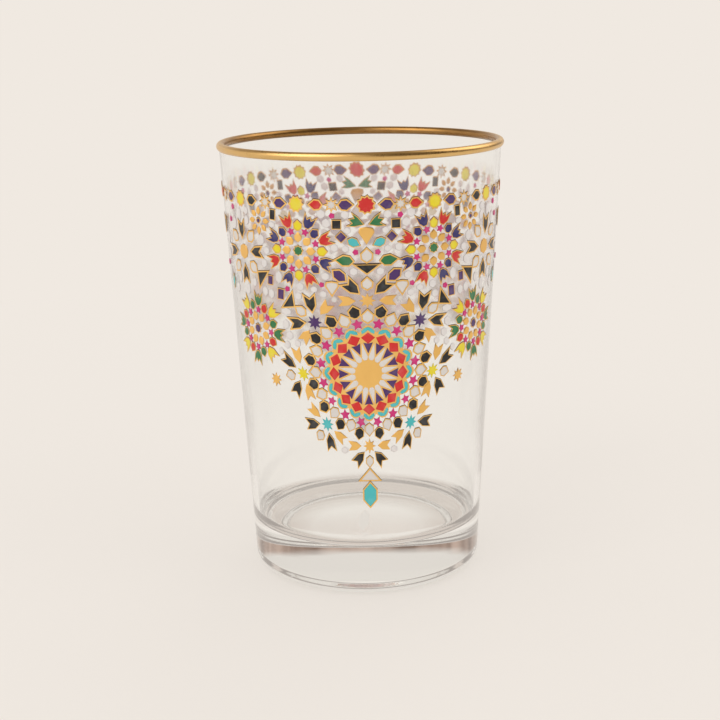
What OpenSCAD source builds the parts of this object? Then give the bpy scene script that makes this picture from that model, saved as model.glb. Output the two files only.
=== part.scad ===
// Moroccan tea glass: a pressed conical glass with a beaded lip, fired gilding on the lip,
// and two like fields of raised enamel tiles, one on the front and one on the back.
// The origin is the middle of the foot, on the table. The front field faces -Y.

/* [Glass] */
// Height of the glass over the bead
glass_h = 92.6; // [88:0.2:98]
// Width over the bead of the lip
rim_d = 60; // [59.4:0.1:60.6]
// Thickness of the bead that rounds the lip
bead_d = 1.6; // [1.5:0.05:1.9]
// How far the bead stands proud of the outer cone, taken up to the top of the glass
bead_proud = 0.4; // [0.25:0.05:0.6]
// Width of the outer cone, taken down to the table
wall_foot_d = 49.2; // [47:0.2:52]
// Thickness of the upper wall
wall_t = 1.25; // [1.1:0.05:1.6]
// Thickness of the wall just above the floor
wall_low_t = 2.2; // [1.8:0.1:3]
// Height where the wall has thinned to its upper thickness
thin_z = 34; // [28:0.5:42]
// Height of the inner floor, the thickness of the solid base
floor_z = 10.4; // [8:0.2:13]
// Radius of the round between the floor and the wall
floor_fillet_r = 2; // [1.5:0.1:3.5]
// Radius of the round at the heel
heel_r = 2.8; // [1.6:0.1:3.6]
// Width of the flat ring that the glass stands on
foot_ring_w = 2.2; // [1.4:0.1:3]
// Depth of the hollow pressed into the underside
punt_depth = 1.1; // [0.6:0.1:2]

/* [Gilding] */
// Thickness of the fired gold on the lip
gild_t = 0.08; // [0.05:0.01:0.15]
// Height of the gold band down the outside
gild_out_h = 1.5; // [1.2:0.05:1.6]
// Height of the gold band down the inside
gild_in_h = 1.3; // [1:0.05:1.4]

/* [Enamel] */
// Depth of the row of stars below the top of the glass
border_drop = 9.9; // [9:0.1:11.6]
// Height of the field, from the middle of the great rosette up to the row of stars
field_h = 33.9; // [32:0.1:35]
// Thickness of the gold plate under the great rosette
plate_t = 0.16; // [0.12:0.01:0.24]
// Thickness of a colour tile
enamel_t = 0.22; // [0.16:0.01:0.3]
// Thickness of a frosted pearl
pearl_t = 0.16; // [0.1:0.01:0.24]
// Width of the gold line that shows round the arches of the great rosette
line_w = 0.3; // [0.24:0.01:0.36]

/* [Hidden] */

gold_c = "goldenrod";
glass_c = [0.82, 0.88, 0.88, 0.45];
smooth_fn = 144;
arc_steps = 8;
// Clearance between a fired layer and the surface it lies on
seat_gap = 0.02;
// Cuts run this far past the surface they cut
over = 1;
// The front field and its twin on the back
field_turns = [0, 180];

rim_r = rim_d / 2;
bead_r = bead_d / 2;
foot_r = wall_foot_d / 2;
wall_top_r = rim_r - bead_proud;
wall_lean = atan((wall_top_r - foot_r) / glass_h);
border_z = glass_h - border_drop;
rosette_z = border_z - field_h;

// Radius of the outer cone at a height
function wall_r(z) = foot_r + (wall_top_r - foot_r) * z / glass_h;
// Thickness of the wall at a height: a smooth step from thick to thin
function wall_t_at(z) =
  let (share = min(1, max(0, (z - floor_z) / (thin_z - floor_z))))
  wall_t + (wall_low_t - wall_t) * (1 + cos(180 * share)) / 2;
function inner_r(z) = wall_r(z) - wall_t_at(z);
function arc(c, r, from, to) =
  [for (i = [0:arc_steps]) let (a = from + (to - from) * i / arc_steps) c + r * [cos(a), sin(a)]];

// Glass

bead_c = [rim_r - bead_r, glass_h - bead_r];
foot_out_r = wall_r(heel_r) - heel_r;
foot_in_r = foot_out_r - foot_ring_w;
fillet_c = [inner_r(floor_z + floor_fillet_r) - floor_fillet_r, floor_z + floor_fillet_r];
// The bead is round down to this turn under its middle, then runs out to the outer cone
// and the inner wall lower down
bead_side_a = 25;
bead_root_a = 2 * bead_side_a;
bead_low_z = bead_c[1] - bead_r * sin(bead_root_a);
wall_steps = 10;
inner_wall = [
  for (i = [1:wall_steps])
    let (z = fillet_c[1] + (thin_z - fillet_c[1]) * i / wall_steps)
    [inner_r(z), z]
];
glass_profile = concat(
  [[0, punt_depth], [foot_in_r - punt_depth, punt_depth], [foot_in_r, 0]],
  arc([foot_out_r, heel_r], heel_r, -90, -wall_lean),
  [[wall_r(bead_low_z), bead_low_z]],
  arc(bead_c, bead_r, -bead_side_a, 180 + bead_side_a),
  [[bead_c[0] - bead_r * cos(bead_root_a), bead_low_z]],
  [for (i = [wall_steps:-1:1]) inner_wall[i - 1]],
  arc(fillet_c, floor_fillet_r, 0, -90),
  [[0, floor_z]]
);

module glass_body() color(glass_c) rotate_extrude($fn = smooth_fn) polygon(glass_profile);

// A C of gold that wraps the bead, lower on the outside than on the inside. It ends before the
// turn where the wall runs on from the bead
gild_low_a = 62;
gild_out_a = min(gild_low_a, asin(min(1, gild_out_h / bead_r - 1)));
gild_in_a = min(bead_root_a, asin(min(1, gild_in_h / bead_r - 1)));
module rim_gilding() color(gold_c) rotate_extrude($fn = smooth_fn) polygon(concat(
  arc(bead_c, bead_r + seat_gap + gild_t, -gild_out_a, 180 + gild_in_a),
  arc(bead_c, bead_r + seat_gap, 180 + gild_in_a, -gild_out_a)
));

// Enamel tiles. Each is a list of points round its edge, in millimetres on the wall,
// across and up from the middle of the great rosette. Sizes are shares of the unit.

unit_share = 0.295;
unit = field_h * unit_share;

function turned(points, a) =
  [for (p = points) [p[0] * cos(a) - p[1] * sin(a), p[0] * sin(a) + p[1] * cos(a)]];
function moved(points, at) = [for (p = points) p + at];
function mirrored(points) = [for (i = [len(points) - 1:-1:0]) [-points[i][0], points[i][1]]];
function centre(points) = [for (k = [0, 1]) sum([for (p = points) p[k]]) / len(points)];
function sum(v, i = 0) = i < len(v) ? v[i] + sum(v, i + 1) : 0;
// A shape of the given length and width, turned and set down
function tile(shape, at, a, l, w) =
  moved(turned([for (s = shape) [s[0] * l * unit, s[1] * w * unit]], a), at * unit);
function star(n, r, inner_share) =
  [for (i = [0:2 * n - 1]) (i % 2 == 0 ? r : r * inner_share) * [cos(180 * i / n), sin(180 * i / n)]];
// A place at a radius and a turn from upward
function polar(r, a) = r * [sin(a), cos(a)];
// Rings of like tiles round a place. Rows: colour, outline, count, turn of the first, radius,
// length and width
function rings(rows, at = [0, 0], turn = 0) = [
  for (row = rows) for (i = [0:row[2] - 1])
    let (a = turn + row[3] + 360 * i / row[2])
    [row[0], tile(row[1], at + polar(row[4], a), 90 - a, row[5], row[6])]
];
// The rosette and its satellites are drawn in across, and more so lower down
squeeze_share = 0.915;
taper_share = 0.105;
function drawn_in(points) =
  [for (p = points) [p[0] * squeeze_share * (1 + taper_share * p[1] / unit), p[1]]];

// Outlines of the tiles in shares of their length and width, the head at the right
kite_share = [[0.5, 0], [0.1, 0.46], [-0.26, 0.42], [-0.5, 0], [-0.26, -0.42], [0.1, -0.46]];
hex_share = [[0.5, 0], [0.14, 0.48], [-0.28, 0.42], [-0.46, 0.12], [-0.46, -0.12], [-0.28, -0.42],
  [0.14, -0.48]];
fishtail_share = [[-0.5, 0], [-0.12, -0.42], [0.5, -0.5], [0.24, 0], [0.5, 0.5], [-0.12, 0.42]];
crown_share = [[-0.48, -0.16], [-0.14, -0.42], [0.5, -0.5], [0.14, -0.18], [0.36, 0], [0.14, 0.18],
  [0.5, 0.5], [-0.14, 0.42], [-0.48, 0.16]];
comet_share = [[-0.5, 0], [0.02, -0.36], [0.44, -0.5], [0.2, -0.2], [0.5, 0], [0.2, 0.2],
  [0.44, 0.5], [0.02, 0.36]];
shield_share = [[-0.5, 0], [0.2, -0.5], [0.44, -0.42], [0.5, 0], [0.44, 0.42], [0.2, 0.5]];
wedge_share = [[-0.5, 0], [0.5, -0.5], [0.4, 0], [0.5, 0.5]];
petal_share = [[0.5, 0], [-0.34, 0.5], [-0.5, 0.24], [-0.5, -0.24], [-0.34, -0.5]];
diamond_share = [[0.5, 0], [0.04, 0.5], [-0.5, 0], [0.04, -0.5]];
arch_share = [[-0.5, -0.46], [-0.1, -0.5], [0.32, -0.28], [0.5, 0], [0.32, 0.28], [-0.1, 0.5],
  [-0.5, 0.46], [-0.3, 0.22], [0.04, 0], [-0.3, -0.22]];
almond_share = [[0.5, 0], [0.08, 0.5], [-0.28, 0.44], [-0.5, 0], [-0.28, -0.44], [0.08, -0.5]];
box_share = [[0.5, 0.5], [-0.5, 0.5], [-0.5, -0.5], [0.5, -0.5]];
triangle_share = [[-0.5, 0], [0.5, -0.5], [0.5, 0.5]];
corner_share = [[-0.5, -0.5], [0.5, -0.5], [-0.5, 0.5]];
pearl_share = [[0.5, 0], [0.24, 0.46], [-0.24, 0.46], [-0.5, 0], [-0.24, -0.46], [0.24, -0.46]];
long_hex_share = [[0.5, 0], [0.2, 0.5], [-0.2, 0.5], [-0.5, 0], [-0.2, -0.5], [0.2, -0.5]];
star_share = star(5, 0.5, 0.5);
dot_share = star(5, 0.5, 0.78);
burst_share = star(8, 0.5, 0.52);
scallop_share = star(8, 0.5, 0.8);
sun_share = star(10, 0.5, 0.8);

// Great rosette: sixteen spokes, from the gold sun out to the black hexagons
spokes = 16;
spoke_a = 360 / spokes;
rosette_ring_shares = [
  ["white", petal_share, spokes, spoke_a / 2, 0.47, 0.36, 0.13],
  ["purple", wedge_share, spokes, 0, 0.54, 0.2, 0.17],
  ["red", diamond_share, spokes, 0, 0.74, 0.21, 0.25],
  ["turquoise", arch_share, spokes, 0, 0.895, 0.15, 0.27],
  ["pink", star_share, spokes, spoke_a / 2, 1.035, 0.216, 0.216],
  ["white", kite_share, spokes, 0, 1.18, 0.27, 0.235],
  ["black", hex_share, spokes, spoke_a / 2, 1.285, 0.262, 0.23]
];
arch_ring = rosette_ring_shares[3];
plate_r = (arch_ring[4] + arch_ring[5] / 2) * unit + line_w;
rosette_tiles = [for (t = rings(rosette_ring_shares)) [t[0], drawn_in(t[1])]];

// Satellites: small stars round the rosette, each with its own petals. Colour, place and the
// turn of the outward side, for those of one half and then for the two on the middle line
side_satellite_shares = [
  ["purple", [1.05, 1.04], 51],
  ["yellow", [1.48, -0.05], 101],
  ["turquoise", [1.05, -1.08], 139]
];
middle_satellite_shares = [["gold", [0, 1.5], 0], ["gold", [0, -1.53], 180]];
satellite_ring_shares = [
  ["white", kite_share, 1, 0, 0.34, 0.25, 0.21],
  ["black", fishtail_share, 1, 46, 0.38, 0.35, 0.225],
  ["black", fishtail_share, 1, -46, 0.38, 0.35, 0.225],
  ["gold", fishtail_share, 1, 91, 0.38, 0.31, 0.195],
  ["gold", fishtail_share, 1, -91, 0.38, 0.31, 0.195]
];
function satellites(list) = [
  for (s = list)
    let (middle = [s[0], tile(burst_share, s[1], 0, 0.28, 0.28)])
    for (t = concat([middle], rings(satellite_ring_shares, s[1], s[2]))) [t[0], drawn_in(t[1])]
];

// Flowers: an eightfold daisy with stars, hexagons and crowns in rings round it
function flower(core, at, turn, hex_cs, crown_cs) = concat(
  [[core, tile(scallop_share, at, 0, 0.2, 0.2)]],
  rings([
    ["gold", kite_share, 8, 0, 0.27, 0.19, 0.16],
    [hex_cs[0], hex_share, 4, 0, 0.5, 0.21, 0.18],
    [hex_cs[1], hex_share, 4, 45, 0.5, 0.21, 0.18],
    [crown_cs[0], crown_share, 4, 22.5, 0.62, 0.27, 0.25],
    [crown_cs[1], crown_share, 4, 67.5, 0.62, 0.27, 0.25],
    ["pink", star_share, 8, 22.5, 0.4, 0.15, 0.15]
  ], at, turn)
);
flower_tiles = concat(
  flower("green", [1.37, 2.47], 0, ["yellow", "indigo"], ["red", "indigo"]),
  flower("purple", [2.52, 0.75], 18, ["green", "red"], ["yellow", "green"])
);
// Side clusters: a gold disc in a ring of black fishtails and white kites
cluster_place_share = [2.9, 2.31];
cluster_ring_shares = [
  ["black", fishtail_share, 4, 5, 0.45, 0.35, 0.22],
  ["white", kite_share, 4, 50, 0.45, 0.28, 0.22]
];
cluster_tiles = concat(
  [["gold", tile(star(8, 0.5, 0.92), cluster_place_share, 0, 0.3, 0.3)]],
  rings(cluster_ring_shares, cluster_place_share)
);
// Daisies: a small core in a ring of gold petals
daisy_place_share = [2.34, 3];
daisy_tiles = concat(
  [["purple", tile(scallop_share, daisy_place_share, 0, 0.11, 0.11)]],
  rings([["gold", kite_share, 8, 0, 0.2, 0.15, 0.1]], daisy_place_share)
);

// Loose tiles of one half of the field: colour, outline, place, turn, length, width
loose_shares = [
  ["green", comet_share, [0.19, 3.06], 20, 0.3, 0.26],
  ["pink", dot_share, [0.665, 3.18], 0, 0.11, 0.11],
  ["black", box_share, [0.575, 3.01], 0, 0.17, 0.17],
  ["turquoise", almond_share, [0.245, 2.655], 205, 0.27, 0.17],
  ["purple", box_share, [0.49, 2.765], 45, 0.155, 0.155],
  ["pink", dot_share, [0.215, 2.465], 0, 0.11, 0.11],
  ["green", almond_share, [0.435, 2.3], 5, 0.36, 0.2],
  ["purple", long_hex_share, [0.54, 2], 40, 0.33, 0.19],
  ["white", shield_share, [0.69, 1.735], 90, 0.27, 0.25],
  ["pink", dot_share, [0.9, 1.81], 0, 0.1, 0.1],
  ["white", burst_share, [0.65, 1.52], 0, 0.14, 0.14],
  ["pink", dot_share, [1.65, 1.68], 0, 0.11, 0.11],
  ["purple", box_share, [1.81, 1.56], 4, 0.15, 0.21],
  ["purple", box_share, [2.07, 1.82], 4, 0.13, 0.18],
  ["black", corner_share, [1.66, 1.46], -8, 0.29, 0.3],
  ["black", corner_share, [2.255, 1.81], 172, 0.31, 0.31],
  ["black", box_share, [1.95, 3.15], 4, 0.13, 0.2],
  ["pink", dot_share, [3.32, 3.18], 0, 0.11, 0.11],
  ["pink", dot_share, [3.47, 2.91], 0, 0.11, 0.11],
  ["pink", dot_share, [3.93, 1.93], 0, 0.11, 0.11],
  ["turquoise", diamond_share, [3.54, 1.59], 90, 0.3, 0.17],
  ["black", fishtail_share, [4.02, 2.74], 90, 0.34, 0.22],
  ["gold", burst_share, [2.03, -0.26], 0, 0.26, 0.26]
];
// Tiles on the middle line of the field
middle_shares = [
  ["gold", shield_share, [0, 2.79], 90, 0.33, 0.3],
  ["white", kite_share, [0, 2.4], 90, 0.28, 0.24],
  ["black", triangle_share, [0, 2.125], 90, 0.18, 0.48],
  ["white", triangle_share, [0, -2.15], -90, 0.25, 0.4],
  ["turquoise", long_hex_share, [0, -2.59], 90, 0.54, 0.26]
];
// Border row of one half: colour, outline, turn round the glass in degrees, turn, length, width
border_shares = [
  ["purple", almond_share, 7.7, 180, 0.29, 0.2],
  ["white", burst_share, 13.2, 0, 0.24, 0.24],
  ["red", almond_share, 19.5, 0, 0.27, 0.19],
  ["yellow", sun_share, 27.5, 0, 0.29, 0.29],
  ["purple", almond_share, 34.7, 180, 0.29, 0.2],
  ["white", burst_share, 42, 0, 0.24, 0.24],
  ["black", almond_share, 49.8, 180, 0.27, 0.19],
  ["yellow", sun_share, 57.6, 0, 0.29, 0.29],
  ["purple", almond_share, 66, 180, 0.29, 0.2],
  ["white", burst_share, 74, 0, 0.24, 0.24],
  ["red", almond_share, 81.8, 0, 0.27, 0.19]
];
function half_tiles(list) = [for (t = list) [t[0], tile(t[1], t[2], t[3], t[4], t[5])]];
function border_place(a) = [a * PI / 180 * wall_r(border_z), border_z - rosette_z] / unit;
border_tiles = [for (t = border_shares) [t[0], tile(t[1], border_place(t[2]), t[3], t[4], t[5])]];

// Frosted pearls that fill the gaps of one half of the field: place, length and width
pearl_shares = [
  [0.41, 3.2, 0.17, 0.15], [0.88, 3.21, 0.18, 0.17], [0.78, 3.03, 0.18, 0.17],
  [0.37, 2.89, 0.13, 0.13], [0.63, 2.55, 0.16, 0.15], [0.41, 2.53, 0.13, 0.14],
  [0.26, 2.08, 0.16, 0.15], [0.82, 1.98, 0.16, 0.16], [1.06, 1.71, 0.13, 0.14],
  [0.87, 1.62, 0.14, 0.14], [1.35, 1.75, 0.17, 0.15], [1.4, 1.55, 0.16, 0.14],
  [1.99, 2.945, 0.13, 0.15], [2.29, 2.62, 0.22, 0.16], [2.15, 2.41, 0.16, 0.15],
  [2.23, 2.15, 0.18, 0.15], [1.85, 1.9, 0.26, 0.16], [3.02, 3.06, 0.28, 0.14],
  [2.75, 3.16, 0.16, 0.14], [2.74, 2.97, 0.2, 0.14], [3.25, 2.86, 0.26, 0.13],
  [3.72, 2.5, 0.26, 0.13], [3.72, 2.14, 0.24, 0.13], [2.56, 1.72, 0.2, 0.13],
  [2.8, 1.55, 0.26, 0.14], [2.23, 1.57, 0.2, 0.14], [2.06, 1.54, 0.2, 0.14],
  [3.12, 1.74, 0.24, 0.13], [3.28, 1.5, 0.22, 0.13], [3.76, 1.75, 0.22, 0.13],
  [1.7, 1.21, 0.15, 0.24], [1.72, 0.94, 0.2, 0.16], [1.63, 0.72, 0.18, 0.15],
  [1.7, 0.52, 0.16, 0.14], [1.86, 0.37, 0.15, 0.12], [1.45, 0.57, 0.14, 0.13],
  [0.5, -1.62, 0.14, 0.13]
];
pearl_tiles = [for (s = pearl_shares) ["pearl", tile(pearl_share, [s[0], s[1]], 90, s[2], s[3])]];

one_side = concat(
  satellites(side_satellite_shares), flower_tiles, cluster_tiles, daisy_tiles,
  half_tiles(loose_shares), border_tiles, pearl_tiles
);
middle_tiles = concat(
  satellites(middle_satellite_shares), half_tiles(middle_shares),
  [
    ["red", tile(sun_share, border_place(0), 9, 0.34, 0.34)],
    ["yellow", tile(sun_share, border_place(90), 0, 0.29, 0.29)]
  ]
);
field_tiles = concat(
  rosette_tiles, middle_tiles, one_side, [for (t = one_side) [t[0], mirrored(t[1])]]
);

// Sets down one flat tile, tangent to the cone, at its own middle
module set_down(points, lift, t) {
  c = centre(points);
  z = rosette_z + c[1];
  rotate([0, 0, c[0] / wall_r(z) * 180 / PI]) translate([0, -wall_r(z) - lift, z])
    rotate([90 + wall_lean, 0, 0]) linear_extrude(t) polygon(moved(points, -c));
}
// Tiles inside the rim of the gold plate lie on the plate, the others on the glass
function on_plate(points) =
  let (c = centre(points)) norm([c[0] / squeeze_share, c[1]]) < plate_r;
module colour_tiles(name, t = enamel_t) {
  for (turn = field_turns) rotate([0, 0, turn]) for (tile = field_tiles) if (tile[0] == name)
    set_down(tile[1], on_plate(tile[1]) ? 2 * seat_gap + plate_t : seat_gap, t);
}

// Gold plate under the rosette, bent to the cone. Its edge follows the arches: from the middle of
// an arch to the next, as shares of the spoke's turn and of the plate's radius
plate_edge_shares = [[0, 1], [0.17, 0.985], [0.33, 0.93], [0.5, 0.862], [0.67, 0.93], [0.83, 0.985]];
plate_edge = drawn_in([
  for (i = [0:spokes - 1]) for (s = plate_edge_shares) polar(s[1] * plate_r, (i + s[0]) * spoke_a)
]);
module cone_skin(gap, t) {
  z0 = rosette_z - unit - over;
  z1 = rosette_z + unit + over;
  rotate_extrude($fn = smooth_fn) polygon([
    [wall_r(z0) + gap, z0], [wall_r(z0) + gap + t, z0], [wall_r(z1) + gap + t, z1], [wall_r(z1) + gap, z1]
  ]);
}
plate_cut_l = max(wall_top_r, foot_r) + seat_gap + plate_t + over;
module gold_rosette_plates() color(gold_c) for (turn = field_turns) rotate([0, 0, turn]) intersection() {
  cone_skin(seat_gap, plate_t);
  translate([0, 0, rosette_z]) rotate([90, 0, 0]) linear_extrude(plate_cut_l) polygon(plate_edge);
}
module gold_tiles() color(gold_c) colour_tiles("gold");
module white_tiles() color("whitesmoke") colour_tiles("white");
module black_tiles() color([0.2, 0.19, 0.18]) colour_tiles("black");
module red_tiles() color([0.84, 0.2, 0.18]) colour_tiles("red");
module pink_tiles() color([0.84, 0.24, 0.47]) colour_tiles("pink");
module purple_tiles() color([0.33, 0.22, 0.43]) colour_tiles("purple");
module indigo_tiles() color([0.24, 0.22, 0.43]) colour_tiles("indigo");
module turquoise_tiles() color([0.35, 0.76, 0.76]) colour_tiles("turquoise");
module green_tiles() color([0.2, 0.49, 0.29]) colour_tiles("green");
module yellow_tiles() color([0.92, 0.84, 0.2]) colour_tiles("yellow");

module frosted_pearls() color([0.93, 0.92, 0.9, 0.8]) colour_tiles("pearl", pearl_t);

glass_body();
rim_gilding();
gold_rosette_plates();
gold_tiles();
white_tiles();
black_tiles();
red_tiles();
pink_tiles();
purple_tiles();
indigo_tiles();
turquoise_tiles();
green_tiles();
yellow_tiles();
frosted_pearls();
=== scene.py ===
import math

import bmesh
import bpy
from mathutils import Matrix, Vector


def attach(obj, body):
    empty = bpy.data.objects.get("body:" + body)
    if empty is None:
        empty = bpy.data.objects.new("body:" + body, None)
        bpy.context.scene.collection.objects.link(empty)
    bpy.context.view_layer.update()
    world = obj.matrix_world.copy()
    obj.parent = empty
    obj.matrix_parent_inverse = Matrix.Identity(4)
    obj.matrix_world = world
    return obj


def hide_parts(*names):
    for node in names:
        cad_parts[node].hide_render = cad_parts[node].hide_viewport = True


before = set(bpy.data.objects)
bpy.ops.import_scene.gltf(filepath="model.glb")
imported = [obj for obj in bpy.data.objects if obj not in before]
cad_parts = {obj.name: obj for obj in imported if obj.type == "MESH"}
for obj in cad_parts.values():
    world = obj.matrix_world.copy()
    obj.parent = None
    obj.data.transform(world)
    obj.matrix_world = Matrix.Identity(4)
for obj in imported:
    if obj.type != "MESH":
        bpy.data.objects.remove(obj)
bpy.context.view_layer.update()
mm = 0.001
decimetres = 10  # to a metre, which keeps heights between 0 and 1 for a ramp
print("frame loaded:", len(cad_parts), "nodes")


# Sizes of the pressed glass, in millimetres
glass = {
    "height": 92.6,
    "rimWidth": 60.0,
    "beadWidth": 1.6,
    "beadRound": 25,  # degrees that the bead turns below its middle
    "wallTop": 59.2,
    "wallFoot": 49.2,
    "wallThin": 1.25,
    "wallThick": 1.3,  # just above the floor, and thinner than in the solids
    "thinHeight": 34.0,
    "wallSteps": 24,
    "floor": 10.4,
    "floorFillet": 3.4,
    "heel": 2.8,
    "footRing": 2.2,
    "punt": 1.1,
    "puntSlope": 2.6,
    "puntSteps": 8,
    "segments": 256,
    "arcSteps": 14,
    "longRun": 1.5,
    "holdEnd": 0.2,
    "weld": 0.0001,
}


def wallRadius(z):
    share = z / glass["height"]
    return glass["wallFoot"] / 2 + (glass["wallTop"] - glass["wallFoot"]) / 2 * share


def wallThickness(z):
    share = (z - glass["floor"]) / (glass["thinHeight"] - glass["floor"])
    share = min(1, max(0, share))
    extra = glass["wallThick"] - glass["wallThin"]
    return glass["wallThin"] + extra * (1 + math.cos(math.pi * share)) / 2


def innerRadius(z):
    return wallRadius(z) - wallThickness(z)


def arcPoints(centre, radius, start, end, steps=glass["arcSteps"]):
    turns = [math.radians(start + (end - start) * i / steps) for i in range(steps + 1)]
    return [(centre[0] + radius * math.cos(a), centre[1] + radius * math.sin(a)) for a in turns]


# A socket that can be added and multiplied, so that shader sums read as sums
class Link:
    def __init__(self, finish, socket):
        self.finish = finish
        self.socket = socket

    def sum(self, operation, first, second):
        return self.finish.node("ShaderNodeMath", {"operation": operation}, {0: first, 1: second})

    def __add__(self, other):
        return self.sum("ADD", self, other)

    def __radd__(self, other):
        return self.sum("ADD", other, self)

    def __rsub__(self, other):
        return self.sum("SUBTRACT", other, self)

    def __mul__(self, other):
        return self.sum("MULTIPLY", self, other)

    def __rmul__(self, other):
        return self.sum("MULTIPLY", other, self)


# The node tree of one material, or of the world
class Finish:
    def __init__(self, owner):
        owner.use_nodes = True
        self.owner = owner
        self.tree = owner.node_tree
        self.tree.nodes.clear()

    # One node: its settings first, then the values or links of its sockets
    def node(self, kind, settings=None, values=None, out=0):
        made = self.tree.nodes.new(kind)
        for key, value in (settings or {}).items():
            if key == "stops":
                self.setStops(made.color_ramp, value)
            else:
                setattr(made, key, value)
        for key, value in (values or {}).items():
            if isinstance(value, Link):
                self.tree.links.new(value.socket, made.inputs[key])
            else:
                made.inputs[key].default_value = value
        return Link(self, made.outputs[out]) if len(made.outputs) else made

    def setStops(self, ramp, stops):
        while len(ramp.elements) < len(stops):
            ramp.elements.new(1)
        for element, (position, colour) in zip(ramp.elements, stops):
            element.position = position
            element.color = colour

    def mixColour(self, factor, first, second):
        return self.node("ShaderNodeMix", {"data_type": "RGBA"}, {0: factor, 6: first, 7: second}, 2)

    def mixShader(self, factor, first, second):
        return self.node("ShaderNodeMixShader", None, {0: factor, 1: first, 2: second})

    def vector(self, operation, *values, out=0):
        return self.node("ShaderNodeVectorMath", {"operation": operation}, dict(enumerate(values)), out)

    def noise(self, place, scale, detail=3):
        values = {"Vector": place, "Scale": scale, "Detail": detail}
        return self.node("ShaderNodeTexNoise", None, values)

    def ramp(self, value, *stops):
        grey = [(position, (level, level, level, 1)) for position, level in stops]
        return self.node("ShaderNodeValToRGB", {"stops": grey}, {0: value})

    def bump(self, height, strength, distance):
        values = {"Height": height, "Strength": strength, "Distance": distance}
        return self.node("ShaderNodeBump", None, values)

    def place(self):
        return self.node("ShaderNodeTexCoord", out="Object")

    def stretchUp(self, place, scale):
        return self.node("ShaderNodeMapping", None, {"Vector": place, "Scale": (1, 1, scale)})

    def upward(self, place):
        return self.node("ShaderNodeSeparateXYZ", None, {0: place}, "Z")

    # How high a point of a tile stands above the wall, from 0 to 1
    def crown(self):
        return self.node("ShaderNodeAttribute", {"attribute_name": "crown"}, out="Fac")

    def ray(self, kind):
        return self.node("ShaderNodeLightPath", out=kind)

    def surface(self, shader):
        self.node("ShaderNodeOutputMaterial", None, {"Surface": shader})
        return self.owner


def srgb(red, green, blue):
    levels = [value / 255 for value in (red, green, blue)]
    return (*[v / 12.92 if v < 0.04045 else ((v + 0.055) / 1.055) ** 2.4 for v in levels], 1)


black = (0, 0, 0, 1)

# Finishes: pairs of numbers are the stops of a ramp, and a bump is its strength and depth
clearGlass = {
    "colour": (0.985, 0.99, 0.985, 1),
    "index": 1.5,
    "haze": 0.1,
    "hazeHeights": ((0.2, 0.0), (0.34, 1.0), (0.7, 1.0), (0.8, 0.4)),
    "smearScale": 90,
    "smears": ((0.45, 0.0), (0.8, 0.03)),
    "waveScale": 34.0,
    "waveStretch": 0.35,
    "waveBump": (0.3, 0.0006),
    "lowWaves": 0.06,
    "shadow": (0.86, 0.86, 0.85, 1),
    "mostTurns": 3.5,  # reflections, just under the four after which the renderer gives a ray up
    # the colour of the painted glow that caught rays end in
    "caught": (0.36, 0.32, 0.29, 1),
}


def makeClearGlass():
    finish = Finish(bpy.data.materials.new("clear_glass"))
    place = finish.place()
    stretched = finish.stretchUp(place, clearGlass["waveStretch"])
    waves = finish.noise(stretched, clearGlass["waveScale"], 2)
    smears = finish.noise(place, clearGlass["smearScale"], 4)
    upper = finish.ramp(finish.upward(place) * decimetres, *clearGlass["hazeHeights"])
    body = finish.node("ShaderNodeBsdfPrincipled", None, {
        "Base Color": clearGlass["colour"],
        "Roughness": clearGlass["haze"] * upper + finish.ramp(smears, *clearGlass["smears"]),
        "IOR": clearGlass["index"],
        "Transmission Weight": 1.0,
        "Normal": finish.bump(waves * (clearGlass["lowWaves"] + upper), *clearGlass["waveBump"]),
    })
    veil = finish.node("ShaderNodeBsdfTransparent", None, {"Color": clearGlass["shadow"]})
    # Painted light: rays that stay caught inside the glass glow a pale grey, and do not end in black
    turns = {0: finish.ray("Glossy Depth"), 1: clearGlass["mostTurns"]}
    caught = finish.node("ShaderNodeMath", {"operation": "GREATER_THAN"}, turns)
    glow = finish.node("ShaderNodeEmission", None, {"Color": clearGlass["caught"], "Strength": 1.0})
    lit = finish.mixShader(caught, body, glow)
    return finish.surface(finish.mixShader(finish.ray("Is Shadow Ray"), lit, veil))


# Painted light for tiles seen from behind: the pale veil colour lower down, and how strongly undersides
# glow
haze = {"colour": srgb(228, 208, 205), "heights": ((0.74, 0.78), (0.78, 0.12))}
underside = {"crowns": ((0.0, 1.0), (0.08, 0.0)), "glow": 0.32}


# How a tile looks from behind, through the glass: its colour near the lip, and lower down mixed towards a
# pale painted veil of light
def paintedLightBehind(finish, colour):
    lower = finish.ramp(finish.upward(finish.place()) * decimetres, *haze["heights"])
    return finish.mixColour(lower, colour, haze["colour"])


# Tops show their own colour; undersides are painted paler and given a painted glow, for the light that
# comes through the tile
def tileColours(finish, under, shown, behind):
    return {
        "Base Color": finish.mixColour(under, shown, behind),
        "Emission Color": finish.mixColour(under, black, behind),
        "Emission Strength": underside["glow"],
    }


gold = {
    "tiles": {"light": srgb(255, 208, 124), "deep": srgb(214, 150, 68), "roughness": 0.3, "brushed": 1},
    "lip": {"light": srgb(230, 190, 124), "deep": srgb(146, 102, 50), "roughness": 0.2, "brushed": 6},
    "grainScale": 2600,
    "grainRoughness": 0.12,
    "bump": (0.35, 0.00005),
    "wornScale": 260,
    "worn": ((0.3, 0.0), (0.7, 1.0)),
    "wornRoughness": 0.1,
    "wornLight": 0.2,
    "lowLight": 0.25,
    "paintedCrownLight": 0.55,
    # Painted shade: the lip's gold takes its deep colour inside the bead and its light colour outside
    "lipInnerShade": ((0.287, 0.1), (0.292, 0.85)),  # dark inside the bead, light outside
}


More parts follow.
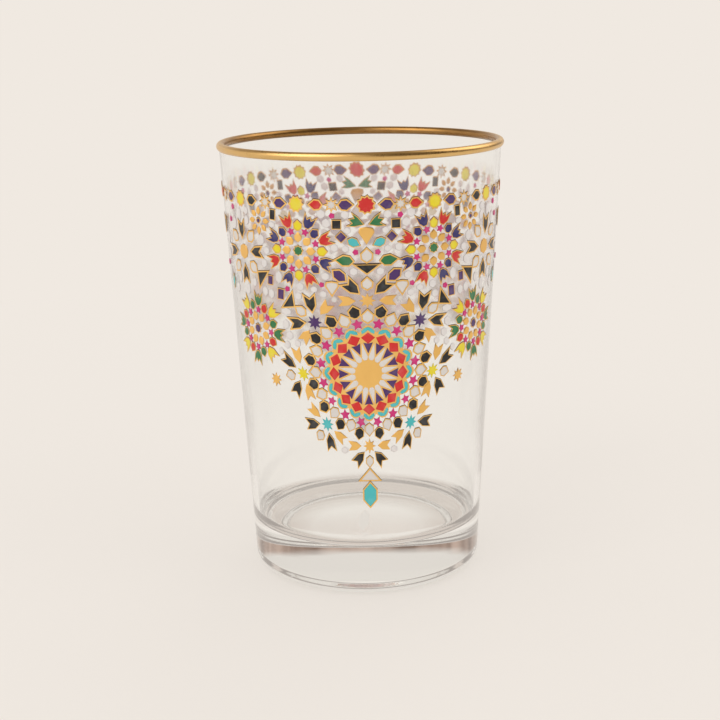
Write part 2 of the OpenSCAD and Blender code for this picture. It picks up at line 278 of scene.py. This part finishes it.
# The grain and the worn shine that both golds have
def startGold(name, polish):
    finish = Finish(bpy.data.materials.new(name))
    place = finish.place()
    grain = finish.noise(place, gold["grainScale"])
    brushed = finish.noise(finish.stretchUp(place, polish["brushed"]), gold["wornScale"], 4)
    worn = finish.ramp(brushed, *gold["worn"])
    shine = polish["roughness"] + gold["wornRoughness"] * worn + gold["grainRoughness"] * grain
    values = {"Metallic": 1.0, "Roughness": shine, "Normal": finish.bump(grain, *gold["bump"])}
    return finish, worn, values


def makeFiredGold():
    tiles = gold["tiles"]
    finish, worn, values = startGold("fired_gold", tiles)
    crown = finish.crown()
    under = finish.ramp(crown, *underside["crowns"])
    # Painted shade and highlight: deep gold at the low edges, light on the crown; worn patches are
    # lighter as well
    light = gold["lowLight"] + gold["paintedCrownLight"] * crown + gold["wornLight"] * worn
    shown = finish.mixColour(light, tiles["deep"], tiles["light"])
    values.update(tileColours(finish, under, shown, paintedLightBehind(finish, tiles["deep"])))
    values["Metallic"] = 1.0 - under
    return finish.surface(finish.node("ShaderNodeBsdfPrincipled", None, values))


def makeLipGold():
    lipGold = gold["lip"]
    finish, worn, values = startGold("lip_gold", lipGold)
    flat = finish.vector("MULTIPLY", finish.place(), (decimetres, decimetres, 0))
    # Painted shade: the inner side of the bead is darkened to the deep colour
    outer = finish.ramp(finish.vector("LENGTH", flat, out=1), *gold["lipInnerShade"])
    light = outer + gold["wornLight"] * worn
    values["Base Color"] = finish.mixColour(light, lipGold["deep"], lipGold["light"])
    return finish.surface(finish.node("ShaderNodeBsdfPrincipled", None, values))


enamelColours = {
    "white": srgb(226, 219, 212),
    "black": srgb(30, 28, 28),
    "red": srgb(214, 44, 40),
    "pink": srgb(212, 48, 122),
    "purple": srgb(78, 46, 104),
    "indigo": srgb(52, 46, 104),
    "turquoise": srgb(80, 192, 194),
    "green": srgb(44, 118, 68),
    "yellow": srgb(236, 216, 40),
}
enamel = {
    "edgeShade": 0.62,
    "edgeLight": 0.15,
    "cloudScale": 520,
    "clouds": ((0.45, 0.0), (0.75, 0.8)),
    "cloudWhite": 0.08,
    "grainScale": 3000,
    "bump": (0.5, 0.00005),
    "roughness": 0.26,
    "grainRoughness": 0.22,
    "specular": 0.35,
    "coat": 0.12,
    "coatRoughness": 0.15,
}


def makeEnamel(colourName):
    colour = enamelColours[colourName]
    edge = tuple(enamel["edgeShade"] * c for c in colour[:3]) + (1,)
    pale = tuple(c + enamel["cloudWhite"] * (1 - c) for c in colour[:3]) + (1,)
    finish = Finish(bpy.data.materials.new(colourName + "_enamel"))
    place = finish.place()
    crown = finish.crown()
    grain = finish.noise(place, enamel["grainScale"])
    clouds = finish.ramp(finish.noise(place, enamel["cloudScale"], 4), *enamel["clouds"])
    # Painted shade: each tile is darker towards its low edge and shows its own colour on the crown
    shaded = finish.mixColour(enamel["edgeLight"] + crown, edge, colour)
    shown = finish.mixColour(clouds, shaded, pale)
    under = finish.ramp(crown, *underside["crowns"])
    body = finish.node("ShaderNodeBsdfPrincipled", None, {
        **tileColours(finish, under, shown, paintedLightBehind(finish, colour)),
        "Roughness": enamel["roughness"] + enamel["grainRoughness"] * grain,
        "Specular IOR Level": enamel["specular"],
        "Coat Weight": enamel["coat"],
        "Coat Roughness": enamel["coatRoughness"],
        "Normal": finish.bump(grain, *enamel["bump"]),
    })
    return finish.surface(body)


# Painted shadow: the dark brown edge above each gold line, brown in patches
shadowEdge = {"dark": srgb(52, 38, 28), "light": srgb(96, 70, 44), "patchScale": 900, "roughness": 0.5}


def makeShadowEdge():
    finish = Finish(bpy.data.materials.new("painted_shadow_edge"))
    under = finish.ramp(finish.crown(), *underside["crowns"])
    patches = finish.noise(finish.place(), shadowEdge["patchScale"])
    shown = finish.mixColour(patches, shadowEdge["dark"], shadowEdge["light"])
    values = tileColours(finish, under, shown, paintedLightBehind(finish, gold["tiles"]["deep"]))
    values["Roughness"] = shadowEdge["roughness"]
    return finish.surface(finish.node("ShaderNodeBsdfPrincipled", None, values))


frosted = {
    "rim": srgb(176, 166, 160),
    "pearl": (srgb(218, 212, 207), srgb(236, 232, 228)),
    "middle": ((0.45, 0.0), (0.9, 1.0)),
    "cloudScale": 500,
    "grainScale": 2400,
    "bump": (0.6, 0.00008),
    "roughness": 0.25,
    "grainRoughness": 0.25,
    "index": 1.45,
    "clear": 0.15,
    "topGlow": (0.1, 0.1, 0.1, 1),
    "glow": 0.5,
}


def makeFrosted():
    finish = Finish(bpy.data.materials.new("frosted_enamel"))
    place = finish.place()
    crown = finish.crown()
    grain = finish.noise(place, frosted["grainScale"], 4)
    pearl = finish.mixColour(finish.noise(place, frosted["cloudScale"]), *frosted["pearl"])
    middle = finish.ramp(crown, *frosted["middle"])
    under = finish.ramp(crown, *underside["crowns"])
    body = finish.node("ShaderNodeBsdfPrincipled", None, {
        # Painted shade and light: pearls are grey at their low rim and pale in the middle, and glow a
        # little all over, more on their undersides
        "Base Color": finish.mixColour(middle, frosted["rim"], pearl),
        "Roughness": frosted["roughness"] + frosted["grainRoughness"] * grain,
        "IOR": frosted["index"],
        "Transmission Weight": frosted["clear"],
        "Emission Color": finish.mixColour(under, frosted["topGlow"], haze["colour"]),
        "Emission Strength": frosted["glow"],
        "Normal": finish.bump(grain, *frosted["bump"]),
    })
    return finish.surface(body)


def makePiece(name, mesh, material, slotName, *nodes):
    mesh.materials.append(material)
    piece = bpy.data.objects.new(name, mesh)
    bpy.context.scene.collection.objects.link(piece)
    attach(piece, "root")
    if nodes:
        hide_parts(*nodes)
    print("made", name, len(mesh.polygons), "faces")


# Long straight runs get points near their ends, which keeps their shading straight
def holdStraight(outline):
    held = [outline[0]]
    for first, second in zip(outline, outline[1:]):
        start, run = Vector(first), Vector(second) - Vector(first)
        if run.length > glass["longRun"]:
            reach = run.normalized() * glass["holdEnd"]
            held += [tuple(start + reach), tuple(start + run - reach)]
        held.append(second)
    return held


# Turns an outline, given as radius and height in millimetres, round the axis
def spinOutline(name, outline):
    shape = bmesh.new()
    closed = outline[0][0] > 0
    outline = holdStraight(outline)
    verts = [shape.verts.new((r * mm, 0, z * mm)) for r, z in outline]
    pairs = list(zip(verts, verts[1:] + verts[:1]))
    edges = [shape.edges.new(pair) for pair in (pairs if closed else pairs[:-1])]
    bmesh.ops.spin(
        shape, geom=verts + edges, cent=(0, 0, 0), axis=(0, 0, 1), angle=2 * math.pi,
        steps=glass["segments"], use_merge=True,
    )
    bmesh.ops.remove_doubles(shape, verts=shape.verts, dist=glass["weld"] * mm)
    bmesh.ops.recalc_face_normals(shape, faces=shape.faces)
    for face in shape.faces:
        face.smooth = True
    mesh = bpy.data.meshes.new(name)
    shape.to_mesh(mesh)
    shape.free()
    return mesh


beadRadius = glass["beadWidth"] / 2
beadCentre = (glass["rimWidth"] / 2 - beadRadius, glass["height"] - beadRadius)
beadLow = math.radians(2 * glass["beadRound"])
beadRoot = beadCentre[1] - beadRadius * math.sin(beadLow)  # height at which the wall meets the bead


# The outline runs from the middle of the foot, up outside, over the lip and down to the floor
def makeGlassBody():
    lean = math.degrees(math.atan((glass["wallTop"] - glass["wallFoot"]) / 2 / glass["height"]))
    heelCentre = (wallRadius(glass["heel"]) - glass["heel"], glass["heel"])
    footInner = heelCentre[0] - glass["footRing"]
    filletHeight = glass["floor"] + glass["floorFillet"]
    filletCentre = (innerRadius(filletHeight) - glass["floorFillet"], filletHeight)
    rise = (glass["thinHeight"] - filletHeight) / glass["wallSteps"]
    heights = [filletHeight + rise * i for i in range(glass["wallSteps"], 0, -1)]
    outline = [(0, glass["punt"])]
    for i in range(glass["puntSteps"] + 1):
        share = i / glass["puntSteps"]
        height = glass["punt"] * (1 + math.cos(math.pi * share)) / 2
        outline.append((footInner - glass["puntSlope"] * (1 - share), height))
    outline += arcPoints(heelCentre, glass["heel"], -90, -lean)
    outline += [(wallRadius(beadRoot), beadRoot)]
    outline += arcPoints(beadCentre, beadRadius, -glass["beadRound"], 180 + glass["beadRound"])
    outline += [(beadCentre[0] - beadRadius * math.cos(beadLow), beadRoot)]
    outline += [(innerRadius(z), z) for z in heights]
    outline += arcPoints(filletCentre, glass["floorFillet"], 0, -90)
    outline += [(0, glass["floor"])]
    return spinOutline("clear_glass_body", outline)


lip = {"gap": 0.02, "thickness": 0.06, "outside": 1.5, "inside": 1.3, "steps": 30}


# The gilding reaches down by one height outside and by another inside
def makeLipGilding():
    low = -math.degrees(math.asin((lip["outside"] - beadRadius) / beadRadius))
    high = 180 + math.degrees(math.asin((lip["inside"] - beadRadius) / beadRadius))
    reach = beadRadius + lip["gap"]
    outer = arcPoints(beadCentre, reach + lip["thickness"], low, high, lip["steps"])
    inner = arcPoints(beadCentre, reach, high, low, lip["steps"])
    return spinOutline("gilded_lip_band", outer + inner)


# Enamel tiles, worked flat: x is the way round the wall, y the height, z the distance out
tile = {
    "weld": 0.0002,
    "flat": 1.0,  # degrees between triangles that are one face
    "facing": 0.9,
    "lowest": 0.02,
    "rimDrop": 0.09,
    "plateDrop": 0.2,
    "rises": ((0.05, 0.045), (0.08, 0.03), (0.1, 0.012)),  # in and up, for each step of the dome
    "starRises": ((0.03, 0.04), (0.04, 0.025)),
    "starNotches": 5,
    "plateDepth": 0.33,
    "run": {"gold_tiles": 0.07, "frosted_pearls": 0.06, "pink_tiles": 0.07},
    "starRun": 0.05,
    "plateRun": {"red_tiles": 0.11, "purple_tiles": 0.07, "turquoise_tiles": -0.03},
}
line = {
    "width": 0.27,
    "thin": 0.15,
    "rays": 0.2,
    "growShare": 0.7,
    "smallTile": 3.2,  # square millimetres, as the next two are
    "smallHollow": 4.4,
    "burst": 1.6,
    "scallop": 75,  # degrees at the tips, below which a star is sharp
    "share": 0.92,  # of the line's inner part, which the enamel leaves free
    "height": 0.06,
    "sink": 0.01,
    "shadowEdgeShift": (0.0, 0.14),
    "shadowEdgeLower": 0.03,
}
plate = {"lowest": 0.035, "top": 0.2, "cutEvery": 0.8, "reach": 30.0, "cutWeld": 0.00001}


def layFlat(nodeName):
    source = bmesh.new()
    source.from_mesh(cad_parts[nodeName].data)
    bmesh.ops.remove_doubles(source, verts=source.verts, dist=tile["weld"] * mm)
    bmesh.ops.dissolve_limit(
        source, angle_limit=math.radians(tile["flat"]), verts=source.verts, edges=source.edges
    )
    flat = bmesh.new()
    for face in source.faces:
        centre = face.calc_center_median()
        out = Vector((face.normal.x, face.normal.y, 0))
        if out.dot(Vector((centre.x, centre.y, 0)).normalized()) < tile["facing"]:
            continue
        out.normalize()
        across = Vector((-out.y, out.x, 0))
        start = math.atan2(out.x, -out.y) * wallRadius(centre.z / mm) * mm
        depth = out.dot(centre) - wallRadius(centre.z / mm) * mm
        verts = [flat.verts.new((start + across.dot(v.co), v.co.z, depth)) for v in face.verts]
        flat.faces.new(verts)
    source.free()
    flat.normal_update()
    return flat


# Bends a flat shape onto the cone, and keeps how high each point stood as its crown
def wrapOnWall(shape, name):
    depths = [vert.co.z for vert in shape.verts]
    low, high = min(depths), max(depths)
    crowns = []
    for vert in shape.verts:
        x, y, z = vert.co
        turn = x / (wallRadius(y / mm) * mm)
        radius = wallRadius(y / mm) * mm + z
        vert.co = (radius * math.sin(turn), -radius * math.cos(turn), y)
        crowns.append((z - low) / (high - low))
    shape.normal_update()
    mesh = bpy.data.meshes.new(name)
    shape.to_mesh(mesh)
    shape.free()
    mesh.attributes.new("crown", "FLOAT", "POINT").data.foreach_set("value", crowns)
    return mesh


# Moves the outlines of flat faces in by a width, or out by one below zero
def offsetFaces(flat, faces, width):
    made = bmesh.ops.inset_individual(flat, faces=faces, thickness=width * mm, use_even_offset=True)
    bmesh.ops.delete(flat, geom=made["faces"], context="FACES")


def isHollow(face):
    return not all(loop.is_convex for loop in face.loops)


def isStar(face):
    return sum(not loop.is_convex for loop in face.loops) >= tile["starNotches"]


def onPlate(face):
    return face.calc_center_median().z > tile["plateDepth"] * mm


# How wide the gold line round a tile is: none on the plate, and none round a sharp star but a white sun
def lineWidth(face, isWhite):
    area = face.calc_area() / mm ** 2
    if onPlate(face):
        return None
    if isStar(face):
        sharpest = min(math.degrees(loop.calc_angle()) for loop in face.loops if loop.is_convex)
        if sharpest < line["scallop"]:
            return line["rays"] if isWhite and area > line["burst"] else None
    small = line["smallHollow"] if isHollow(face) and not isStar(face) else line["smallTile"]
    return line["thin"] if area < small else line["width"]


def addFaces(shape, faces):
    for face in faces:
        shape.faces.new([shape.verts.new(vert.co) for vert in face.verts])
    shape.normal_update()


def joinShapes(first, second):
    mesh = bpy.data.meshes.new("joined")
    second.to_mesh(mesh)
    first.from_mesh(mesh)
    second.free()
    bpy.data.meshes.remove(mesh)
    return first


# Closes flat faces into slabs that reach down to the given depth
def dropSides(flat, lowest):
    tops = list(flat.faces)
    made = bmesh.ops.extrude_face_region(flat, geom=tops, use_keep_orig=True)["geom"]
    for vert in (item for item in made if isinstance(item, bmesh.types.BMVert)):
        vert.co.z = lowest * mm
    bmesh.ops.recalc_face_normals(flat, faces=flat.faces)
    return tops


# How far the fired enamel runs past the tile that was laid, or below zero, stays short of it
def runOut(face, nodeName, width):
    if onPlate(face):
        return tile["plateRun"].get(nodeName, 0)
    if width:
        return -width * (1 - line["growShare"]) * line["share"]
    return tile["run"].get(nodeName, tile["starRun"])


# Enamel stands in a dome, with its top left flat
def makeDomes(flat, runs):
    for run, faces in runs.items():
        if run:
            offsetFaces(flat, faces, -run)
    for face in flat.faces:
        drop = tile["plateDrop"] if onPlate(face) else tile["rimDrop"]
        for vert in face.verts:
            vert.co.z -= drop * mm
    tops = dropSides(flat, tile["lowest"])
    hollow = [face for face in tops if isHollow(face)]
    level = [face for face in tops if not isHollow(face)]
    for rises, faces in ((tile["rises"], level), (tile["starRises"], hollow)):
        for width, rise in rises:
            bmesh.ops.inset_individual(
                flat, faces=faces, thickness=width * mm, depth=rise * mm, use_even_offset=True
            )
    level += bmesh.ops.triangulate(flat, faces=hollow)["faces"]
    for face in flat.faces:
        face.smooth = True
    for face in level:
        face.smooth = False
    return flat


# One colour's tiles: the domes, and under the lined ones the ground that carries their lines
def makeColourTiles(nodeName, lines, isLined=False):
    flat = layFlat(nodeName)
    linedBy = {}
    runs = {}
    for face in flat.faces:
        width = lineWidth(face, nodeName == "white_tiles") if isLined else None
        runs.setdefault(runOut(face, nodeName, width), []).append(face)
        if width:
            linedBy.setdefault(width, []).append(face)
    ground = bmesh.new()
    for width, lined in linedBy.items():
        addFaces(ground, lined)
        addFaces(lines.setdefault(width, bmesh.new()), lined)
    for vert in ground.verts:
        vert.co.z -= tile["rimDrop"] * mm
    dropSides(ground, tile["lowest"])
    return wrapOnWall(joinShapes(makeDomes(flat, runs), ground), nodeName + "_fired")


def layLines(shape, shift, lower, name):
    top = line["height"] - tile["rimDrop"] - line["sink"] - lower
    for vert in shape.verts:
        vert.co += Vector((*shift, top)) * mm
    level = max(vert.co.z for vert in shape.verts) / mm
    dropSides(shape, level - line["height"])
    return wrapOnWall(shape, name)


# The gold lines, and a dark copy of them set a little higher: a painted shadow edge that shows above them
def makeGoldLines(lines):
    joined = bmesh.new()
    for width, shape in lines.items():
        offsetFaces(shape, list(shape.faces), -width * line["growShare"])
        inner = list(shape.faces)
        bmesh.ops.inset_individual(shape, faces=inner, thickness=width * mm, use_even_offset=True)
        bmesh.ops.delete(shape, geom=inner, context="FACES_ONLY")
        joined = joinShapes(joined, shape)
    edges = joined.copy()
    return (
        layLines(joined, (0, 0), 0, "gold_lines_fired"),
        layLines(edges, line["shadowEdgeShift"], line["shadowEdgeLower"], "painted_shadow_edges_fired"),
    )


def allOf(shape):
    return shape.verts[:] + shape.edges[:] + shape.faces[:]


# The outline of the front plate of gold, laid flat as edges
def layPlateRim(sheet):
    source = bmesh.new()
    source.from_mesh(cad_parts["gold_rosette_plates"].data)
    bmesh.ops.remove_doubles(source, verts=source.verts, dist=tile["weld"] * mm)
    outer = set()
    for face in source.faces:
        centre = face.calc_center_median()
        facing = face.normal.dot(Vector((centre.x, centre.y, 0)).normalized())
        if centre.y < 0 and facing > tile["facing"]:
            outer.add(face)
    twins = {}
    for edge in source.edges:
        if sum(face in outer for face in edge.link_faces) != 1:
            continue
        for vert in edge.verts:
            if vert not in twins:
                turn = math.atan2(vert.co.x, -vert.co.y)
                across = turn * wallRadius(vert.co.z / mm) * mm
                twins[vert] = sheet.verts.new((across, vert.co.z, plate["top"] * mm))
        sheet.edges.new([twins[vert] for vert in edge.verts])
    source.free()


# The outlines of the front plate's tiles of one colour, laid flat as edges
def layWindows(sheet, nodeName):
    flat = layFlat(nodeName)
    for face in flat.faces:
        if not onPlate(face) or abs(face.calc_center_median().x) > plate["reach"] * mm:
            continue
        corners = [sheet.verts.new((v.co.x, v.co.y, plate["top"] * mm)) for v in face.verts]
        for pair in zip(corners, corners[1:] + corners[:1]):
            sheet.edges.new(pair)
    flat.free()


# The gold between the tiles of the great rosette: one sheet with a window for every tile
def makeRosetteGold():
    sheet = bmesh.new()
    layPlateRim(sheet)
    for colourName in enamelColours:
        layWindows(sheet, colourName + "_tiles")
    bmesh.ops.triangle_fill(
        sheet, edges=sheet.edges, use_beauty=True, use_dissolve=False, normal=(0, 0, 1)
    )
    sheet.normal_update()
    bmesh.ops.reverse_faces(sheet, faces=[face for face in sheet.faces if face.normal.z < 0])
    # Cuts from side to side let the sheet bend with the wall
    lowX, highX = min(v.co.x for v in sheet.verts), max(v.co.x for v in sheet.verts)
    cuts = int((highX - lowX) / (plate["cutEvery"] * mm))
    for i in range(1, cuts):
        bmesh.ops.bisect_plane(
            sheet, geom=allOf(sheet), dist=plate["cutWeld"] * mm,
            plane_co=(lowX + (highX - lowX) * i / cuts, 0, 0), plane_no=(1, 0, 0),
        )
    dropSides(sheet, plate["lowest"])
    back = bmesh.ops.duplicate(sheet, geom=allOf(sheet))["geom"]
    for vert in (item for item in back if isinstance(item, bmesh.types.BMVert)):
        vert.co.x += math.pi * wallRadius(vert.co.y / mm) * mm
    return wrapOnWall(sheet, "gold_rosette_plates_fired")


makePiece("clear_glass_body", makeGlassBody(), makeClearGlass(), "clear_glass", "glass_body")
makePiece("gilded_lip_band", makeLipGilding(), makeLipGold(), "gold", "rim_gilding")

firedGold = makeFiredGold()
goldLines = {}
for colourName in enamelColours:
    nodeName = colourName + "_tiles"
    mesh = makeColourTiles(nodeName, goldLines, colourName != "pink")
    makePiece(nodeName + "_fired", mesh, makeEnamel(colourName), colourName + "_enamel", nodeName)
goldMesh = makeColourTiles("gold_tiles", goldLines)
makePiece("gold_tiles_fired", goldMesh, firedGold, "gold", "gold_tiles")
lineMesh, shadowEdgeMesh = makeGoldLines(goldLines)
makePiece("gold_lines_fired", lineMesh, firedGold, "gold")
makePiece("painted_shadow_edges_fired", shadowEdgeMesh, makeShadowEdge(), None)
makePiece("gold_rosette_plates_fired", makeRosetteGold(), firedGold, "gold", "gold_rosette_plates")
pearls = makeColourTiles("frosted_pearls", goldLines)
makePiece("frosted_pearls_fired", pearls, makeFrosted(), "frosted_enamel", "frosted_pearls")

# The room: what the eye sees is plain and pale, and the rest is what the glass and the gold mirror
studio = {
    "backdrop": srgb(240, 233, 225),
    "floorSize": 6.0,
    "floorDrop": 0.00005,
    "shadowShare": 0.35,
    "shadowReach": 0.32,
    "shadowFade": ((0.25, 1.0), (1.0, 0.0)),
    "contactShadow": srgb(150, 122, 102),
    "contactRing": ((0.12, 0.0), (0.19, 0.4), (0.25, 0.4), (0.34, 0.0)),
    "skyLight": 0.78,
    "white": (1, 1, 1, 1),
    "ceiling": (0.30, 0.25, 0.21, 1),
    "ceilingHeights": ((0.3, 0.0), (0.6, 1.0)),
    "behind": (srgb(112, 84, 68), srgb(186, 160, 144)),
    "behindScale": 5,
    "behindPatches": ((0.35, 0.0), (0.65, 1.0)),
    "behindAbove": srgb(226, 220, 212),
    "behindBand": ((0.35, 1.0), (0.36, 0.0), (0.3752, 0.0), (0.3776, 1.0)),
    "windows": (
        {"toward": (-0.6, -0.45, 0.65), "stops": ((0.82, 0.0), (1.0, 1.0)), "colour": (3.2, 3.0, 2.7, 1)},
        {"toward": (0.7, 0.35, 0.6), "stops": ((0.86, 0.0), (1.0, 1.0)), "colour": (2.4, 2.2, 2.0, 1)},
    ),
    "shade": {
        "toward": (0.96, -0.2, 0.1),
        "stops": ((0.15, 0.0), (0.6, 1.0)),
        "colour": (0.13, 0.1, 0.07, 1),
    },
}


def seenRays(finish):
    return finish.ray("Is Camera Ray") + finish.ray("Is Glossy Ray") + finish.ray("Is Transmission Ray")


def makeFloor():
    shape = bmesh.new()
    bmesh.ops.create_grid(shape, x_segments=1, y_segments=1, size=studio["floorSize"] / 2)
    bmesh.ops.translate(shape, verts=shape.verts, vec=(0, 0, -studio["floorDrop"]))
    mesh = bpy.data.meshes.new("floor")
    shape.to_mesh(mesh)
    shape.free()
    floor = bpy.data.objects.new("floor", mesh)
    bpy.context.scene.collection.objects.link(floor)
    finish = Finish(bpy.data.materials.new("pale_floor"))
    matt = finish.node("ShaderNodeBsdfDiffuse", None, {"Color": studio["backdrop"]})
    away = finish.vector("LENGTH", finish.place(), out=1)
    # Painted shadow: seen through the glass, the floor turns brown in a ring round the foot
    ring = finish.ramp(away * decimetres, *studio["contactRing"])
    seenColour = finish.mixColour(
        ring * finish.ray("Is Transmission Ray"), studio["backdrop"], studio["contactShadow"]
    )
    glow = finish.node("ShaderNodeEmission", None, {"Color": seenColour, "Strength": 1.0})
    near = finish.ramp(away * (1 / studio["shadowReach"]), *studio["shadowFade"])
    seen = seenRays(finish) * (1 - studio["shadowShare"] * near)
    mesh.materials.append(finish.surface(finish.mixShader(seen, matt, glow)))


def makeSky():
    world = bpy.data.worlds.new("studio")
    bpy.context.scene.world = world
    finish = Finish(world)
    direction = finish.node("ShaderNodeTexCoord", out="Generated")
    height = finish.upward(direction)
    isThrough = finish.ray("Is Transmission Ray")
    isMirror = finish.ray("Is Glossy Ray") * (1 - isThrough)
    upper = finish.ramp(height, *studio["ceilingHeights"]) * isMirror
    colour = finish.mixColour(upper, studio["backdrop"], studio["ceiling"])
    # Through the foot the room shows: a brown band between pale walls
    patches = finish.noise(direction, studio["behindScale"])
    room = finish.mixColour(finish.ramp(patches, *studio["behindPatches"]), *studio["behind"])
    room = finish.mixColour(finish.ramp(height, *studio["behindBand"]), room, studio["behindAbove"])
    colour = finish.mixColour(isThrough, colour, room)
    for area in (studio["shade"], *studio["windows"]):
        facing = finish.vector("DOT_PRODUCT", direction, Vector(area["toward"]).normalized(), out=1)
        colour = finish.mixColour(finish.ramp(facing, *area["stops"]) * isMirror, colour, area["colour"])
    seen = finish.node("ShaderNodeBackground", None, {"Color": colour, "Strength": 1.0})
    soft = {"Color": studio["white"], "Strength": studio["skyLight"]}
    light = finish.node("ShaderNodeBackground", None, soft)
    mixed = finish.mixShader(seenRays(finish), light, seen)
    finish.node("ShaderNodeOutputWorld", None, {"Surface": mixed})


lamps = {
    "key_lamp": {"place": (-0.52, -0.5, 0.6), "size": 0.5, "power": 1.5},
    "fill_lamp": {"place": (0.6, -0.3, 0.45), "size": 0.4, "power": 0.6},
    "back_lamp": {"place": (0.25, 0.6, 0.5), "size": 0.4, "power": 0.7},
}
lampAim = (0, 0, 0.045)


def makeLamps():
    for name, lamp in lamps.items():
        data = bpy.data.lights.new(name, "AREA")
        data.shape = "RECTANGLE"
        data.size = lamp["size"]
        data.size_y = lamp["size"]
        data.energy = lamp["power"]
        light = bpy.data.objects.new(name, data)
        bpy.context.scene.collection.objects.link(light)
        light.location = lamp["place"]
        light.visible_glossy = False
        light.visible_transmission = False
        aim = Vector(lampAim) - light.location
        light.rotation_euler = aim.to_track_quat("-Z", "Y").to_euler()


# The photograph's view, in metres. Lens and sensor are in millimetres, the azimuth is in degrees
# and the roll in radians, and the shift is a share of the picture's width
view = {
    "distance": 0.293,
    "height": 0.1193,
    "azimuth": -1.8,
    "aim": 0.04445,
    "lens": 69.25,
    "sensor": 36,
    "near": 0.01,
    "roll": -0.018,
    "shift": (-4 / 720, 1 / 720),
}


def makeCamera():
    data = bpy.data.cameras.new("camera")
    data.lens = view["lens"]
    data.sensor_width = view["sensor"]
    data.shift_x, data.shift_y = view["shift"]
    data.clip_start = view["near"]
    camera = bpy.data.objects.new("camera", data)
    bpy.context.scene.collection.objects.link(camera)
    turn = math.radians(view["azimuth"])
    place = Vector((math.sin(turn), -math.cos(turn), 0)) * view["distance"]
    place.z = view["height"]
    aim = Vector((0, 0, view["aim"])) - place
    looking = aim.to_track_quat("-Z", "Y").to_matrix().to_4x4()
    camera.matrix_world = Matrix.Translation(place) @ looking @ Matrix.Rotation(view["roll"], 4, "Z")
    bpy.context.scene.camera = camera


makeFloor()
makeSky()
makeLamps()
makeCamera()
bpy.context.scene.view_settings.view_transform = "Standard"
print("stage, lamps and camera set")
